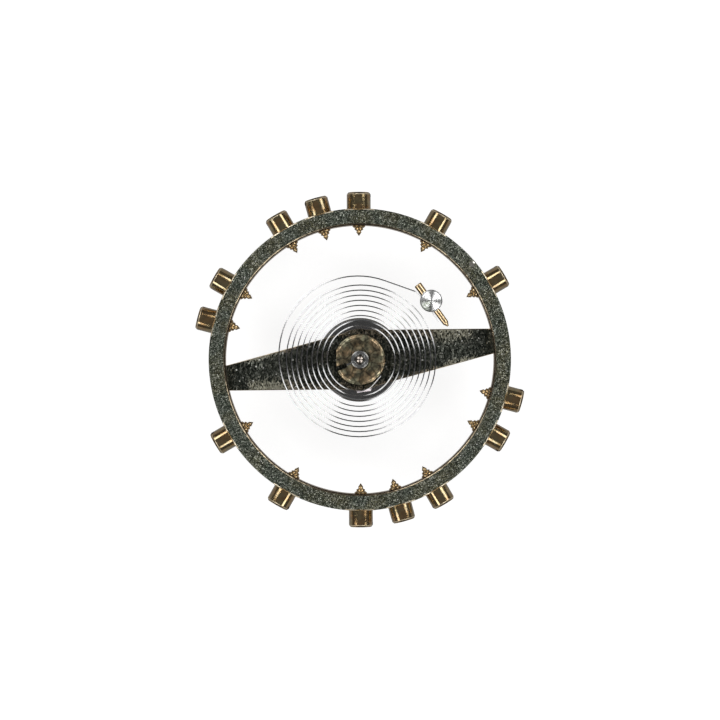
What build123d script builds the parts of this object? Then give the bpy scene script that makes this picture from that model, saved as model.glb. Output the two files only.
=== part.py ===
from build123d import *
import math
import os

# Balance wheel with its staff, roller, hairspring and stud. Lengths are millimetres, angles degrees.
# The origin is the tip of the lower pivot, and +Z runs up the staff to the hairspring side.

# Wheel: an uncut rim and two tapered arms, made in one piece
rim_outer_radius = 5.035
rim_width = 0.553
rim_height = 0.70
rim_bevel = 0.03
rim_drop = 0.05
hub_radius = 1.03
arm_thickness = 0.24
arm_root_half_width = 1.0
arm_tip_half_width = 0.42
arm_angle = 8.0
mark_radius = 0.075
mark_depth = 0.04
mark_angle = 40.4
mark_width_share = 0.77

# Balance screws: seven opposite pairs, each seated against a flat on the rim
screw_pair_angles = (90, 60, 30, -15, -30, -60, -75)
screw_circle_angle = 0.4
screw_head_radius = 0.40
screw_head_length = 0.57
screw_head_bevel = 0.06
screw_slot_width = 0.12
screw_slot_depth = 0.16
screw_slot_angle = 9.0
screw_seat_depth = 0.02
screw_seat_margin = 0.02
thread_radius = 0.21
thread_pitch = 0.09
thread_depth = 0.03
thread_clearance = 0.005
screw_end_length = 0.05
screw_tip_length = 0.30

# Staff: pivots, cones and seats, from the lower end up
pivot_radius = 0.06
pivot_rounding = 0.025
lower_pivot_length = 0.24
lower_cone_length = 0.26
lower_cone_radius = 0.19
roller_seat_radius = 0.23
roller_seat_length = 1.0
flange_jewel_gap = 0.07
flange_thickness = 0.18
wheel_seat_radius = 0.42
rivet_radius = 0.52
rivet_height = 0.05
collet_seat_radius = 0.325
collet_seat_bevel = 0.04
collet_seat_above_collet = 0.05
upper_cone_radius = 0.18
upper_cone_length = 0.42
upper_pivot_length = 0.24

# Double roller and its impulse jewel
roller_radius = 1.404
roller_thickness = 0.22
roller_bevel = 0.04
roller_neck_radius = 0.42
roller_neck_length = 0.33
safety_roller_radius = 0.66
safety_roller_thickness = 0.25
crescent_radius = 0.24
jewel_angle = -82.4
jewel_radius = 0.26
jewel_flat_distance = 1.09
jewel_flat_depth = 0.12
jewel_drop = 0.46
jewel_rise = 0.02

# Collet
collet_radius = 0.85
collet_height = 0.70
collet_bevel = 0.08
collet_lift = 0.03
collet_flat_depth = 0.07
collet_flat_angle = 180.0
slit_angle = 202.0
slit_width = 0.16
slit_depth_share = 0.762
slit_neck_width = 0.06
collet_hole_share = 0.6
collet_hole_margin = 0.035

# Hairspring: a flat ribbon that winds clockwise from the collet out to the stud, seen from above
spring_thickness = 0.035
spring_height = 0.15
spring_above_collet_base = 0.43
spring_gap_round_collet = 0.177
spring_pitch = 0.1687
spring_quarter_turns = 36
spring_held_length = 0.70
mouth_gap = 0.01
mouth_bend_radius = 0.12
lead_angle = 49.0
coils_end_angle = 55.8
first_knee_radius = 0.60
first_knee_angle = 2.27
outer_curve_growth = 0.045
outer_curve_angle = 146.0
outer_straight_length = 1.057
stud_curve_radius = 0.35
stud_curve_angle = 34.2
spring_straight_before_stud = 0.032
spring_tail_past_stud = 0.706
gap_samples = 12

# Stud, the taper pin through it and the one in the collet
stud_radius = 0.362
stud_foot_radius = 0.31
stud_foot_length = 0.52
stud_post_length = 0.70
stud_below_spring = 0.23
stud_end_bevel = 0.03
stud_hole_margin = 0.089
stud_pin_offset = 0.02
stud_pin_length = 1.72
stud_pin_blunt_reach = 0.71
stud_pin_thin_share = 0.77
stud_pin_point_length = 0.14
collet_pin_length_share = 0.94
collet_pin_thin_share = 0.8
collet_pin_point_length = 0.06

# Gap between a hole's wall and what is pinned in it, and how far a cutter runs past its work
pin_clearance = 0.005
overrun = 0.1

# Heights and radii that follow from the sizes above
rim_inner_radius = rim_outer_radius - rim_width
roller_seat_base = lower_pivot_length + lower_cone_length
flange_base = roller_seat_base + roller_seat_length
arm_base = flange_base + flange_thickness
arm_top = arm_base + arm_thickness
rim_base = arm_base - rim_drop
rim_top = rim_base + rim_height
screw_height = rim_base + rim_height / 2
screw_seat_radius = rim_outer_radius - screw_seat_depth
collet_base = arm_top + rivet_height + collet_lift
collet_top = collet_base + collet_height
spring_plane = collet_base + spring_above_collet_base
staff_shoulder = collet_top + collet_seat_above_collet
upper_pivot_base = staff_shoulder + upper_cone_length
staff_top = upper_pivot_base + upper_pivot_length
jewel_middle = jewel_flat_distance + jewel_flat_depth - jewel_radius
flange_radius = jewel_middle - jewel_radius - flange_jewel_gap

# The cross hole and the slit keep their places in the collet's wall, and the holes take the ribbon
collet_wall = collet_radius - collet_seat_radius
collet_hole_distance = collet_seat_radius + collet_wall * collet_hole_share
collet_hole_radius = spring_height / 2 + collet_hole_margin
collet_hole_length = 2 * math.sqrt(collet_radius ** 2 - collet_hole_distance ** 2)
slit_depth = collet_wall * slit_depth_share
stud_hole_radius = spring_height / 2 + stud_hole_margin


def on_axis(radius, base, height):
    """Cylinder about the staff's axis, standing on a given height."""
    return Pos(Z=base + height / 2) * Cylinder(radius, height)


def turned(profile):
    """Solid of revolution about the staff's axis, from (radius, height) points."""
    outline = Polyline(*[(radius, 0, height) for radius, height in profile], close=True)
    return revolve(make_face(outline), Axis.Z)


def plate(points, base, height):
    """Straight-edged outline in plan, standing on a given height."""
    return extrude(Pos(Z=base) * make_face(Polyline(*points, close=True)), height)


def wheel():
    bevelled_rim = turned([
        (rim_inner_radius, rim_base + rim_bevel),
        (rim_inner_radius + rim_bevel, rim_base),
        (rim_outer_radius - rim_bevel, rim_base),
        (rim_outer_radius, rim_base + rim_bevel),
        (rim_outer_radius, rim_top - rim_bevel),
        (rim_outer_radius - rim_bevel, rim_top),
        (rim_inner_radius + rim_bevel, rim_top),
        (rim_inner_radius, rim_top - rim_bevel),
    ])
    reach = rim_inner_radius + rim_width / 2
    arms = plate([
        (reach, arm_tip_half_width),
        (rim_inner_radius, arm_tip_half_width),
        (0, arm_root_half_width),
        (-rim_inner_radius, arm_tip_half_width),
        (-reach, arm_tip_half_width),
        (-reach, -arm_tip_half_width),
        (-rim_inner_radius, -arm_tip_half_width),
        (0, -arm_root_half_width),
        (rim_inner_radius, -arm_tip_half_width),
        (reach, -arm_tip_half_width),
    ], arm_base, arm_thickness)
    blank = bevelled_rim + Rot(Z=arm_angle) * arms + on_axis(hub_radius, arm_base, arm_thickness)
    bore = on_axis(wheel_seat_radius, arm_base - overrun, arm_thickness + 2 * overrun)
    mark = Rot(Z=mark_angle) * Pos(rim_inner_radius + rim_width * mark_width_share, 0, rim_top)
    punch = mark * Cone(0, mark_radius, mark_depth, align=(Align.CENTER, Align.CENTER, Align.MAX))
    return blank - bore - punch - [screw_place(angle) * screw_cutter() for angle in screw_angles()]


def screw_angles():
    """Directions of all the screws: one of each pair, then its opposite."""
    return [angle + half_turn + screw_circle_angle for half_turn in (0, 180) for angle in screw_pair_angles]


def screw_place(angle):
    """Place on the rim's seat whose +Z points outward along the screw."""
    return Rot(Z=angle) * Pos(screw_seat_radius, 0, screw_height) * Rot(Y=90)


def screw_cutter():
    """Tapped hole through the rim and the flat seat under the head."""
    through = Pos(Z=-rim_width / 2) * Cylinder(thread_radius + thread_clearance, rim_width + overrun)
    seat_radius = screw_head_radius + screw_seat_margin
    seat = Cylinder(seat_radius, overrun, align=(Align.CENTER, Align.CENTER, Align.MIN))
    return through + seat


def balance_screw(turn):
    """One screw about Z, its head standing on the seat and its threaded point reaching down."""
    shank_end = -(rim_width - screw_seat_depth + screw_end_length)
    point = shank_end - screw_tip_length
    cone_slope = thread_radius / screw_tip_length
    profile = [(0, screw_head_length), (screw_head_radius - screw_head_bevel, screw_head_length)]
    profile += [(screw_head_radius, screw_head_length - screw_head_bevel), (screw_head_radius, 0)]
    profile += [(thread_radius, 0), (thread_radius, shank_end)]
    # two turns of thread stand out on the cone as rings
    for ridge in (1, 2):
        height = shank_end - ridge * thread_pitch
        groove = height + thread_pitch / 2
        profile.append(((groove - point) * cone_slope - thread_depth, groove))
        profile.append(((height - point) * cone_slope, height))
    profile += [(0, point)]
    slot = Pos(Z=screw_head_length) * Rot(Z=turn) * Box(
        screw_slot_width, 2 * screw_head_radius, 2 * screw_slot_depth)
    return turned(profile) - slot


def staff():
    return turned([
        (0, 0),
        (pivot_radius - pivot_rounding, 0),
        (pivot_radius, pivot_rounding),
        (pivot_radius, lower_pivot_length),
        (lower_cone_radius, roller_seat_base),
        (roller_seat_radius, roller_seat_base),
        (roller_seat_radius, flange_base),
        (flange_radius, flange_base),
        (flange_radius, arm_base),
        (wheel_seat_radius, arm_base),
        (wheel_seat_radius, arm_top),
        (rivet_radius, arm_top),
        (rivet_radius - rivet_height, arm_top + rivet_height),
        (collet_seat_radius, arm_top + rivet_height),
        (collet_seat_radius, staff_shoulder - collet_seat_bevel),
        (collet_seat_radius - collet_seat_bevel, staff_shoulder),
        (upper_cone_radius, staff_shoulder),
        (pivot_radius, upper_pivot_base),
        (pivot_radius, staff_top - pivot_rounding),
        (pivot_radius - pivot_rounding, staff_top),
        (0, staff_top),
    ])


def jewel_outline(growth):
    """D-shaped section of the impulse jewel, its flat facing outward along +X."""
    round_part = Pos(X=jewel_middle) * Circle(jewel_radius + growth)
    kept = jewel_flat_distance + growth
    beyond = Pos(X=kept + roller_radius / 2) * Rectangle(roller_radius, 2 * roller_radius)
    return round_part - beyond


def impulse_jewel():
    length = jewel_drop + roller_thickness + jewel_rise
    base = flange_base - roller_thickness - jewel_drop
    return Rot(Z=jewel_angle) * Pos(Z=base) * extrude(jewel_outline(0), length)


def double_roller():
    """Impulse roller, neck and safety roller in one piece, pressed up to the staff's flange."""
    table_base = flange_base - roller_thickness
    safety_top = table_base - roller_neck_length
    safety_base = safety_top - safety_roller_thickness
    blank = turned([
        (roller_seat_radius, safety_base),
        (safety_roller_radius, safety_base),
        (safety_roller_radius, safety_top),
        (roller_neck_radius, safety_top),
        (roller_neck_radius, table_base),
        (roller_radius - roller_bevel, table_base),
        (roller_radius, table_base + roller_bevel),
        (roller_radius, flange_base - roller_bevel),
        (roller_radius - roller_bevel, flange_base),
        (roller_seat_radius, flange_base),
    ])
    turn = Rot(Z=jewel_angle)
    jewel_hole = turn * Pos(Z=table_base - overrun) * extrude(
        jewel_outline(pin_clearance), roller_thickness + 2 * overrun)
    crescent = turn * Pos(X=safety_roller_radius + crescent_radius / 4) * on_axis(
        crescent_radius, safety_base - overrun, safety_roller_thickness + roller_neck_length / 2)
    return blank - jewel_hole - crescent


def collet():
    blank = turned([
        (collet_seat_radius, collet_base),
        (collet_radius, collet_base),
        (collet_radius, collet_top - collet_bevel),
        (collet_radius - collet_bevel, collet_top),
        (collet_seat_radius, collet_top),
    ])
    tall = collet_height + 2 * overrun
    middle = collet_base + collet_height / 2
    flat = Rot(Z=collet_flat_angle) * Pos(collet_radius - collet_flat_depth, 0, middle) * Box(
        collet_radius, 2 * collet_radius, tall, align=(Align.MIN, Align.CENTER, Align.CENTER))
    slit_end = collet_radius - slit_depth + slit_width / 2
    slit = Pos(slit_end, 0, middle) * (
        Box(collet_radius, slit_width, tall, align=(Align.MIN, Align.CENTER, Align.CENTER))
        + Cylinder(slit_width / 2, tall))
    neck = Pos(0, 0, middle) * Box(
        slit_end, slit_neck_width, tall, align=(Align.MIN, Align.CENTER, Align.CENTER))
    hole_middle = left_of(hole_heading) * collet_hole_distance + Vector(0, 0, spring_plane)
    hole = across(hole_middle, hole_heading) * Cylinder(collet_hole_radius, 2 * collet_radius)
    return blank - flat - Rot(Z=slit_angle) * (slit + neck) - hole


def direction(heading):
    """Unit vector in plan along a heading in degrees."""
    return Vector(math.cos(math.radians(heading)), math.sin(math.radians(heading)), 0)


def left_of(heading):
    """Unit vector a quarter turn counterclockwise from a heading, outward for the ribbon."""
    return direction(heading + 90)


def held_offset(hole_radius):
    """How far the ribbon's middle lies from the axis of a hole when its edges reach the hole's wall."""
    reach = hole_radius - pin_clearance
    return math.sqrt(reach ** 2 - (spring_height / 2) ** 2) - spring_thickness / 2


def pin_radius(hole_radius):
    """Radius that fills a hole between its wall and the ribbon that its edges hold there."""
    ribbon_inner_face = held_offset(hole_radius) - spring_thickness / 2
    return (ribbon_inner_face + hole_radius) / 2 - pin_clearance


# First full curve: it starts straight below the axis and heads for -X
first_curve_radius = collet_radius + spring_gap_round_collet + spring_thickness / 2 + spring_pitch / 8
first_curve_start = Vector(-spring_pitch / 8, spring_pitch / 8 - first_curve_radius, spring_plane)
lead_heading = 180.0 + lead_angle

# The lead runs past the collet at a small gap, and bends in at the mouth of the collet's hole
lead_distance = collet_radius + spring_thickness / 2 + mouth_gap
lead_curve_radius = (
    (lead_distance - left_of(lead_heading).dot(first_curve_start))
    / (1 - math.cos(math.radians(lead_angle))))
held_distance = collet_hole_distance + held_offset(collet_hole_radius)
mouth_angle = math.degrees(math.acos(
    (held_distance - mouth_bend_radius) / (lead_distance - mouth_bend_radius)))
hole_heading = lead_heading + mouth_angle
lead_curve_middle = first_curve_start - left_of(180) * lead_curve_radius
lead_length = direction(lead_heading).dot(lead_curve_middle)


def across(middle, heading):
    """Upright plane at a place, facing along a heading, whose own X points up."""
    return Plane(origin=middle, x_dir=(0, 0, 1), z_dir=direction(heading))


def ribbon_runs():
    """Straights (length, 0) and arcs (radius, turn) of the ribbon in order, clockwise turns negative."""
    runs = [(spring_held_length, 0), (mouth_bend_radius, -mouth_angle), (lead_length, 0)]
    runs.append((lead_curve_radius, -lead_angle))
    for quarter in range(spring_quarter_turns):
        runs.append((first_curve_radius + quarter * spring_pitch / 4, -90.0))
    last_radius = first_curve_radius + spring_quarter_turns * spring_pitch / 4
    outer_curve_radius = last_radius + outer_curve_growth
    runs.append((last_radius, -coils_end_angle))
    runs.append((first_knee_radius, first_knee_angle))
    runs.append((outer_curve_radius, -outer_curve_angle))
    runs.append((outer_straight_length, 0))
    runs.append((stud_curve_radius, -stud_curve_angle))
    runs.append((stud_radius + spring_straight_before_stud + spring_tail_past_stud, 0))
    return runs


def ribbon_start():
    """The ribbon's inner end, inside the collet's hole."""
    mouth_middle = left_of(lead_heading) * (lead_distance - mouth_bend_radius)
    bend_start = mouth_middle + left_of(hole_heading) * mouth_bend_radius
    inner_end = bend_start - direction(hole_heading) * spring_held_length
    return inner_end + Vector(0, 0, spring_plane)


def ribbon_path():
    """Edges of the ribbon's middle line from the collet outward, and the heading of its tail."""
    place = ribbon_start()
    heading = hole_heading
    edges = []
    for size, turn in ribbon_runs():
        if turn:
            edge = JernArc(place, direction(heading), size, turn)
        else:
            edge = Line(place, place + direction(heading) * size)
        edges.append(edge)
        place = edge @ 1
        heading += turn
    return edges, heading


def least_gap(edges):
    """Smallest free space between neighbouring turns, measured on points of the middle line."""
    points = [edge @ (step / gap_samples) for edge in edges for step in range(gap_samples)]
    half_turn = 2 * gap_samples
    distances = [
        (other - point).length
        for number, point in enumerate(points)
        for other in points[number + half_turn:]]
    return min(distances) - spring_thickness


def hairspring():
    """The whole ribbon, swept along straights and tangent arcs of at most a quarter turn in the coils."""
    edges, _ = ribbon_path()
    start = across(ribbon_start(), hole_heading)
    ribbon = sweep(start * Rectangle(spring_height, spring_thickness), path=Wire(edges))
    length = sum(edge.length for edge in edges)
    print(f"hairspring: least gap between turns {least_gap(edges):.3f} mm, length {length:.2f} mm, "
          f"volume {ribbon.volume:.4f} of {length * spring_thickness * spring_height:.4f} mm3")
    return ribbon


def stud_place():
    """The stud's middle at the height of the ribbon, and the heading of the hole through it."""
    edges, heading = ribbon_path()
    on_ribbon = edges[-1] @ 1 - direction(heading) * spring_tail_past_stud
    return on_ribbon + left_of(heading) * (pin_from_ribbon() + stud_pin_offset), heading


def pin_from_ribbon():
    """Distance from the ribbon's middle line to the stud pin's axis."""
    return spring_thickness / 2 + pin_clearance + pin_radius(stud_hole_radius)


def hairspring_stud():
    """Round post with a slightly tapered foot, cross-drilled for the ribbon and its pin."""
    middle, heading = stud_place()
    foot_top = stud_foot_length - stud_below_spring
    post_top = foot_top + stud_post_length
    blank = Pos(middle) * turned([
        (0, -stud_below_spring),
        (stud_foot_radius, -stud_below_spring),
        (stud_radius, foot_top),
        (stud_radius, post_top - stud_end_bevel),
        (stud_radius - stud_end_bevel, post_top),
        (0, post_top),
    ])
    hole_offset = held_offset(stud_hole_radius) - pin_from_ribbon() - stud_pin_offset
    hole_middle = middle + left_of(heading) * hole_offset
    hole = across(hole_middle, heading) * Cylinder(stud_hole_radius, 2 * stud_radius + overrun)
    return blank - hole


def taper_pin(length, blunt_radius, thin_share, point_length):
    """Taper pin about Z with its blunt end at zero and a short point at the other end."""
    blunt_bevel = blunt_radius / 4
    thin_radius = blunt_radius * thin_share
    return turned([
        (0, 0),
        (blunt_radius - blunt_bevel, 0),
        (blunt_radius, blunt_bevel),
        (thin_radius, length - point_length),
        (thin_radius / 4, length),
        (0, length),
    ])


def stud_pin():
    middle, heading = stud_place()
    axis_middle = middle - left_of(heading) * stud_pin_offset
    blunt_end = axis_middle - direction(heading) * stud_pin_blunt_reach
    return across(blunt_end, heading) * taper_pin(
        stud_pin_length, pin_radius(stud_hole_radius), stud_pin_thin_share, stud_pin_point_length)


def collet_pin():
    """Taper pin that wedges the ribbon's inner end against the wall of the collet's hole."""
    blunt_radius = pin_radius(collet_hole_radius)
    axis_distance = collet_hole_distance - collet_hole_radius + pin_clearance + blunt_radius
    length = collet_hole_length * collet_pin_length_share
    blunt_end = left_of(hole_heading) * axis_distance - direction(hole_heading) * length / 2
    return across(blunt_end + Vector(0, 0, spring_plane), hole_heading) * taper_pin(
        length, blunt_radius, collet_pin_thin_share, collet_pin_point_length)


parts = {
    "balance_wheel": wheel(),
    "balance_staff": staff(),
    "double_roller": double_roller(),
    "impulse_jewel": impulse_jewel(),
    "hairspring_collet": collet(),
    "collet_pin": collet_pin(),
    "hairspring": hairspring(),
    "hairspring_stud": hairspring_stud(),
    "stud_pin": stud_pin(),
}
for number, angle in enumerate(screw_angles(), start=1):
    turn = screw_slot_angle * (number % 5 - 2)
    parts[f"balance_screw_{number:02d}"] = screw_place(angle) * balance_screw(turn)

os.makedirs("parts", exist_ok=True)
for name, shape in parts.items():
    export_step(shape, f"parts/{name}.step")
    print(name, "volume", round(shape.volume, 4), "mm3")
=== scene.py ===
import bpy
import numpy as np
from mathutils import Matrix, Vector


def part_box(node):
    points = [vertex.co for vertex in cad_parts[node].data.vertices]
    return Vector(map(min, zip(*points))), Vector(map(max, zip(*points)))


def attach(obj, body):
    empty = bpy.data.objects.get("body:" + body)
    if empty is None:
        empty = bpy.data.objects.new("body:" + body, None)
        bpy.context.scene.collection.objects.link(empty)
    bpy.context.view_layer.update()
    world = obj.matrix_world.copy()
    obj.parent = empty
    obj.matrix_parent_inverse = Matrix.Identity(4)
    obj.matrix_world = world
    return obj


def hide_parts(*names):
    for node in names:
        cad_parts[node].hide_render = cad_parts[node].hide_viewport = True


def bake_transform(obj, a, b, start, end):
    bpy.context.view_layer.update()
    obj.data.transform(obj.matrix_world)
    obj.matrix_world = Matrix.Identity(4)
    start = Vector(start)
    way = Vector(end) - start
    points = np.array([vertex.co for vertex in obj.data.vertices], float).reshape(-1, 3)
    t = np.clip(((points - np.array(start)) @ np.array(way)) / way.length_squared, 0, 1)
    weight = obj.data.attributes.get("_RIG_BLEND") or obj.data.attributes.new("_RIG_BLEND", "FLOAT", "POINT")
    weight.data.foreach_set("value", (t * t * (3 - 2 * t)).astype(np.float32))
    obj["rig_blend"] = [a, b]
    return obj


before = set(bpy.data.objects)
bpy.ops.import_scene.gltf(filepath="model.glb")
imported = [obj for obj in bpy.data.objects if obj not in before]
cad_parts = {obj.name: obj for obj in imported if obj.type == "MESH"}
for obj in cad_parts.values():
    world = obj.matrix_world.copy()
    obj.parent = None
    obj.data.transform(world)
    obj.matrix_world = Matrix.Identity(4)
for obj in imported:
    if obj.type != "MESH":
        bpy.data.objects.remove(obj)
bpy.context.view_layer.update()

from math import acos, cos, hypot, pi, radians, sin, sqrt, tan

import bpy
from bpy.props import FloatProperty, FloatVectorProperty, IntProperty, PointerProperty
from mathutils import Matrix, Vector

bl_info = {
    "name": "Balance wheel",
    "version": (1, 0, 0),
    "blender": (4, 5, 0),
    "location": "3D View > Sidebar > Balance wheel",
    "description": "Dresses the balance, its hairspring and its stud, and sets up the studio",
    "category": "Add Mesh",
}

WHEEL_LOW, WHEEL_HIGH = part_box("balance_wheel")
STAFF_LOW, STAFF_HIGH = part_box("balance_staff")
ROLLER_LOW, ROLLER_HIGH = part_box("double_roller")
COLLET_LOW, COLLET_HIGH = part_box("hairspring_collet")
SPRING_LOW, SPRING_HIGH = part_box("hairspring")
STUD_LOW, STUD_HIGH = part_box("hairspring_stud")
JEWEL_LOW, JEWEL_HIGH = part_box("impulse_jewel")


def length(name, default, description):
    return FloatProperty(name=name, description=description, default=default, unit="LENGTH", precision=6)


def turn(name, degrees, description):
    return FloatProperty(name=name, description=description, default=radians(degrees), subtype="ANGLE")


def number(name, default, description):
    return FloatProperty(name=name, description=description, default=default, precision=4)


def count(name, default, description):
    return IntProperty(name=name, description=description, default=default)


def colour(name, default, description):
    return FloatVectorProperty(
        name=name, description=description, default=default, size=3, min=0, max=1, subtype="COLOR")


class WheelSizes(bpy.types.PropertyGroup):
    outer_radius: length("Rim radius", 0.005035, "Outer radius of the rim")
    width: length("Rim width", 0.000553, "Radial width of the rim")
    bevel: length("Rim bevel", 0.00003, "Bevel along the rim's edges")
    inner_bevel: length("Inner bevel", 0.00006, "Bevel round the inside of the rim's top")
    hub_radius: length("Hub radius", 0.00103, "Radius of the round hub")
    bore_radius: length("Bore radius", 0.00042, "Radius of the hole that the staff is riveted in")
    arm_base: length("Arm height", 0.00168, "Height of the arms' underside")
    arm_thickness: length("Arm thickness", 0.00024, "Thickness of the arms")
    arm_root: length("Arm root", 0.0010, "Half the width that the arms would have at the middle")
    arm_tip: length("Arm tip", 0.00042, "Half the width of an arm at the rim")
    arm_bevel: length("Arm bevel", 0.000025, "Bevel along the arms' edges")
    arm_turn: turn("Arm angle", 8.0, "Direction of the arms against X")
    wide_rub: length("Wide rub", 0.0004, "Width of the rubbed zone along one edge of each arm")
    thin_rub: length("Thin rub", 0.00014, "Width of the rubbed zone along the other edge")
    # Inside this distance the rubbed zones carry painted shade of the hairspring's coils: dimmer and
    # browner.
    coil_shade_end: length("Rub start", 0.00255, "Distance from the axis at which the rubbed zones begin in full")
    rub_end: length("Rub end", 0.00383, "Distance from the axis at which the rubbed zones end")
    mark_turn: turn("Mark angle", 40.4, "Direction of the punch mark on the rim")
    mark_place: number("Mark place", 0.77, "Place of the punch mark across the rim, as a share of its width")
    mark_radius: length("Mark radius", 0.0001, "Radius of the punch mark")


class ScrewSizes(bpy.types.PropertyGroup):
    circle_turn: turn("Circle angle", 0.4, "Turn of the circle of screws against Y")
    seat_radius: length("Seat", 0.005015, "Distance of the heads' undersides from the staff's axis")
    head_radius: length("Head radius", 0.0004, "Radius of a head")
    head_length: length("Head length", 0.00057, "Length of a head")
    head_bevel: length("Head bevel", 0.00005, "Bevel at a head's outer end")
    slot_width: length("Slot width", 0.00012, "Width of the slot")
    slot_depth: length("Slot depth", 0.00016, "Depth of the slot")
    thread_radius: length("Thread radius", 0.00021, "Outer radius of the thread")
    thread_pitch: length("Thread pitch", 0.00009, "Distance from one thread to the next")
    thread_depth: length("Thread depth", 0.000045, "Depth of the thread")
    end_length: length("End length", 0.00005, "Length of full thread that stands out inside the rim")
    tip_length: length("Tip length", 0.0003, "Length of the point past it")
    tip_radius: length("Tip radius", 0.000004, "Radius of the point's blunt end")
    relief: length("Shank relief", 0.00001, "How much thinner the shank is than the thread")
    seat_gap: length("Seat gap", 0.00002, "Gap round a head in its flat seat on the rim")
    hole_gap: length("Hole gap", 0.000005, "Gap round a thread in its hole")
    slot_step: turn("Slot step", 9.0, "Turn of a slot against the next one")


class StaffSizes(bpy.types.PropertyGroup):
    pivot_radius: length("Pivot radius", 0.00006, "Radius of the pivots")
    pivot_length: length("Pivot length", 0.00024, "Length of a pivot")
    shoulder_radius: length("Pivot shoulder", 0.000105, "Radius of the small shoulder at a pivot's root")
    root_height: length("Root height", 0.00002, "Height of the sloping root of a pivot")
    end_height: length("End height", 0.00002, "Height of the pivot's domed end")
    collet_seat_radius: length("Collet seat", 0.000325, "Radius of the seat of the collet")
    collet_seat_top: length("Collet seat's top", 0.00275, "Height of the shoulder above the collet")
    seat_edge_width: length("Seat edge's width", 0.00004, "Width of the bevel above the collet's seat")
    seat_edge_drop: length("Seat edge's drop", 0.00007, "Drop of that bevel below the shoulder")
    cone_radius: length("Cone radius", 0.00018, "Radius of the upper cone at its root")
    dome_radius: length("Dome radius", 0.0002, "Radius inside which the shoulder above the collet is flat")
    dome_height: length("Dome height", 0.000024, "Rise of the sloping part of that shoulder")
    rivet_radius: length("Rivet radius", 0.00052, "Radius of the riveted lip")
    rivet_height: length("Rivet height", 0.00005, "Height of the riveted lip")
    flange_radius: length("Flange radius", 0.00062, "Radius of the flange under the wheel")
    roller_seat_radius: length("Roller seat", 0.00023, "Radius of the seat of the roller")
    roller_seat_base: length("Roller seat's foot", 0.0005, "Height at which the seat of the roller begins")
    low_cone_radius: length("Lower cone radius", 0.00019, "Radius of the lower cone at its root")


class RollerSizes(bpy.types.PropertyGroup):
    table_radius: length("Table radius", 0.001404, "Radius of the impulse roller")
    # Painted highlight: a brighter ring near the roller's edge, in place of the light a chamfer there
    # catches.
    highlight_inset: length("Line inset", 0.00006, "Distance of the burnished line from the roller's edge")
    table_thickness: length("Table thickness", 0.00022, "Thickness of the impulse roller")
    table_bevel: length("Table bevel", 0.00004, "Bevel of the impulse roller")
    neck_radius: length("Neck radius", 0.00042, "Radius of the neck between the rollers")
    safety_radius: length("Safety radius", 0.00066, "Radius of the safety roller")
    safety_thickness: length("Safety thickness", 0.00025, "Thickness of the safety roller")
    crescent_radius: length("Crescent radius", 0.00024, "Radius of the passing crescent")
    crescent_depth: length("Crescent depth", 0.000315, "How high the crescent reaches")
    jewel_turn: turn("Jewel angle", -82.4, "Direction of the impulse jewel")
    jewel_middle: length("Jewel place", 0.00095, "Distance of the jewel's middle from the axis")
    jewel_radius: length("Jewel radius", 0.00026, "Radius of the impulse jewel")
    jewel_flat: length("Jewel flat", 0.00014, "Distance of the jewel's flat from its middle")
    jewel_bevel: length("Jewel bevel", 0.000015, "Bevel along the jewel's edges")
    jewel_gap: length("Jewel gap", 0.000005, "Gap round the jewel in its hole")


class ColletSizes(bpy.types.PropertyGroup):
    radius: length("Collet radius", 0.00085, "Outer radius of the collet")
    bevel: length("Collet bevel", 0.00011, "Width of the shallow bevel round the collet's top")
    edge_width: length("Edge width", 0.00003, "Width of the steep edge outside that bevel")
    edge_height: length("Edge height", 0.000026, "Height of that steep edge")
    edge_drop: length("Edge drop", 0.000024, "Drop of the shallow bevel")
    cut_bevel: length("Cut bevel", 0.000006, "Bevel along the cut edges")
    flat_depth: length("Flat depth", 0.00007, "Depth of the flat on the collet's side")
    slit_turn: turn("Slit angle", 202.0, "Direction of the slit")
    slit_width: length("Slit width", 0.00016, "Width of the slit")
    slit_depth: length("Slit depth", 0.00040, "Depth of the slit")
    neck_width: length("Neck width", 0.00006, "Width of the cut between the slit and the bore")
    ring_inner: length("Ring's inner radius", 0.0005, "Inner radius of the dark ring in the top")
    ring_outer: length("Ring's outer radius", 0.00062, "Outer radius of the dark ring in the top")
    hole_distance: length("Hole distance", 0.00064, "Distance of the cross hole from the axis")
    hole_radius: length("Hole radius", 0.00011, "Radius of the cross hole")


class SpringSizes(bpy.types.PropertyGroup):
    thickness: length("Ribbon thickness", 0.000035, "Thickness of the ribbon")
    height: length("Ribbon height", 0.00015, "Height of the ribbon")
    roof_slope: number("Roof slope", 0.48, "Slope of the ribbon's narrow sides")
    gap_round_collet: length("First gap", 0.000177, "Free space between the collet and the first coil")
    pitch: length("Pitch", 0.0001687, "Distance from one coil to the next")
    quarter_turns: count("Quarter turns", 36, "Quarter turns in the even coils")
    held_length: length("Held length", 0.0007, "Length held in the collet")
    mouth_gap: length("Mouth gap", 0.00001, "Free space past the collet's side")
    mouth_bend: length("Mouth bend", 0.00012, "Radius of the bend at the collet")
    lead_turn: turn("Lead angle", 49.0, "Turn of the lead from the collet into the first coil")
    last_turn: turn("Last coil", 55.8, "Turn of the last part coil")
    outer_growth: length("Outer growth", 0.000045, "How much wider the outer curve is than the last coil")
    outer_turn: turn("Outer curve", 146.0, "Turn of the outer curve")
    first_knee_turn: turn("First knee", 2.27, "Turn of the slight knee before the outer curve")
    first_knee: length("First knee radius", 0.0006, "Radius of the slight knee")
    outer_straight: length("Outer straight", 0.001057, "Straight stretch before the curve into the stud")
    stud_curve_turn: turn("Stud curve", 34.2, "Turn of the curve into the stud")
    stud_curve: length("Stud curve radius", 0.00035, "Radius of the curve into the stud")
    tail_before_stud: length("Tail before", 0.000394, "Straight stretch before the stud's middle")
    tail_past_stud: length("Tail past", 0.000706, "Straight tail past the stud's middle")


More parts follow.
